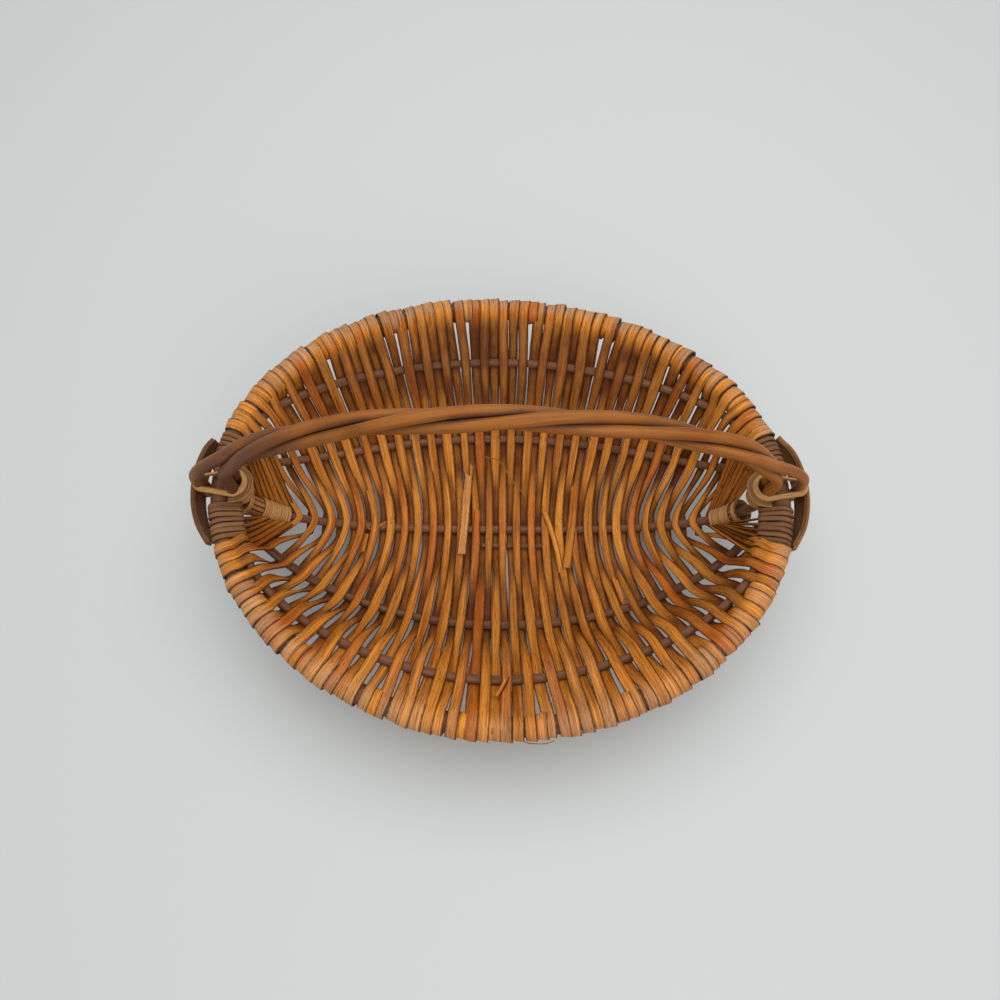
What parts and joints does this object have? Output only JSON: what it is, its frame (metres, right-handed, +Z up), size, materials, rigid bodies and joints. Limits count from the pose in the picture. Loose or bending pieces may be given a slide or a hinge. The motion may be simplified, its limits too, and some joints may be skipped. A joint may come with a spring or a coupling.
{
  "type": "splint basket",
  "caption": "Oval open basket woven from flat splints on round ribs, with a wrapped rim and a fixed twisted arch handle from end to end.",
  "frame": {"origin": "on the ground, under the middle of the basket", "axes": "+X along the handle to the right end, +Y to the back side, +Z up"},
  "size_m": [0.405, 0.3174, 0.2055],
  "materials": {
    "splints": "aged oiled splint",
    "dark_rods": "dark smoothed rod",
    "handle_rods": "hand-polished rod",
    "end_splints": "aged dry splint",
    "ear_wood": "aged split wood"
  },
  "bodies": {
    "root": {"back_base_rib": "dark_rods", "back_side_rib": "dark_rods", "front_base_rib": "dark_rods", "front_side_rib": "dark_rods", "handle_strand_1": "handle_rods", "handle_strand_2": "handle_rods", "handle_strand_3": "handle_rods", "keel_rib": "dark_rods", "keel_splice_rod": "dark_rods", "left_ear_band": "ear_wood", "left_end_lashing": "end_splints", "left_end_roll": "end_splints", "left_foot_binding": "end_splints", "right_ear_band": "ear_wood", "right_end_lashing": "end_splints", "right_end_roll": "end_splints", "right_foot_binding": "end_splints", "rim_fillers_back": "splints", "rim_fillers_front": "splints", "rim_hoop": "dark_rods", "weaver_01": "splints", "weaver_02": "splints", "weaver_03": "splints", "weaver_04": "splints", "weaver_05": "splints", "weaver_06": "splints", "weaver_07": "splints", "weaver_08": "splints", "weaver_09": "splints", "weaver_10": "splints", "weaver_11": "splints", "weaver_12": "splints", "weaver_13": "splints", "weaver_14": "splints", "weaver_15": "splints", "weaver_16": "splints", "weaver_17": "splints", "weaver_18": "splints", "weaver_19": "splints", "weaver_20": "splints", "weaver_21": "splints", "weaver_22": "splints", "weaver_23": "splints", "weaver_24": "splints", "weaver_25": "splints", "weaver_26": "splints", "weaver_27": "splints", "weaver_28": "splints"}
  },
  "joints": []
}
